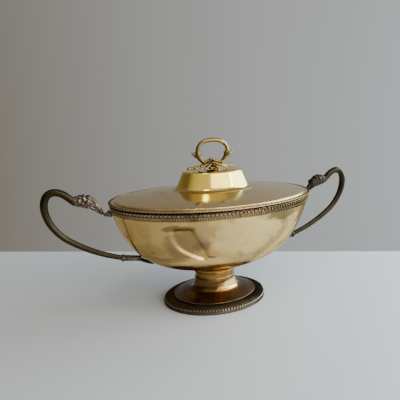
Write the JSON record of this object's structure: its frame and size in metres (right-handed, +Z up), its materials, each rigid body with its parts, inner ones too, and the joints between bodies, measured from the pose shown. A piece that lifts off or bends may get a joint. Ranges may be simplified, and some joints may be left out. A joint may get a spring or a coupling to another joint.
{
  "type": "soup tureen",
  "caption": "Oval brass soup tureen with a beaded rim on a pedestal foot, with looped bird-head handles and a domed lift-off lid with a branch-loop finial.",
  "frame": {"origin": "centre of the foot's underside, on the surface that the tureen stands on", "axes": "+X along the bowl's long axis towards one handle, +Y across the bowl, +Z up, the way the lid lifts off"},
  "size_m": [0.412, 0.174, 0.2125],
  "materials": {
    "bowl": "satin polished brass, lightly tarnished with brown patches and fine scratches",
    "rim_moulding": "beaded brass, polished on the beads with dark tarnish between them",
    "lid": "satin polished brass with a greenish brown tarnish",
    "lid_edge": "polished brass with fine notches along the edge",
    "dome": "bright polished yellow brass",
    "finial": "bright polished cast brass, dark in the recesses",
    "pedestal": "polished reddish brass, brown tarnish towards the foot",
    "foot_border": "dark brown patina worn bright on the beads",
    "handle": "dark olive bronze patina worn to pinkish brown on the high spots",
    "bracket": "reddish brass, lightly tarnished",
    "fastener": "plain turned brass"
  },
  "bodies": {
    "tureen": {"bowl_shell": "bowl", "bowl_rim_moulding": "rim_moulding", "pedestal_collar": "pedestal", "pedestal": "pedestal", "foot_border": "foot_border", "handle_bar_left": "handle", "handle_head_left": "handle", "handle_beak_left": "handle", "rim_bracket_left": "bracket", "rope_cuff_left": "handle", "handle_root_left": "handle", "handle_bar_right": "handle", "handle_head_right": "handle", "handle_beak_right": "handle", "rim_bracket_right": "bracket", "rope_cuff_right": "handle", "handle_root_right": "handle"},
    "lid": {"lid_plate": "lid", "lid_rolled_edge": "lid_edge", "lid_bezel": "lid", "lid_dome": "dome", "finial_loop": "finial", "finial_leaf_left": "finial", "finial_leaf_right": "finial", "finial_knot": "finial", "finial_twig_left": "finial", "finial_twig_right": "finial", "finial_twig_front_left": "finial", "finial_twig_front_right": "finial", "finial_twig_back_left": "finial", "finial_twig_back_right": "finial", "finial_washer": "fastener", "finial_nut": "fastener", "finial_stud": "fastener"}
  },
  "joints": [
    {"name": "lid_lift", "type": "slide", "parent": "tureen", "child": "lid", "axis": [0, 0, 1], "range_m": [0, 0.12]}
  ]
}
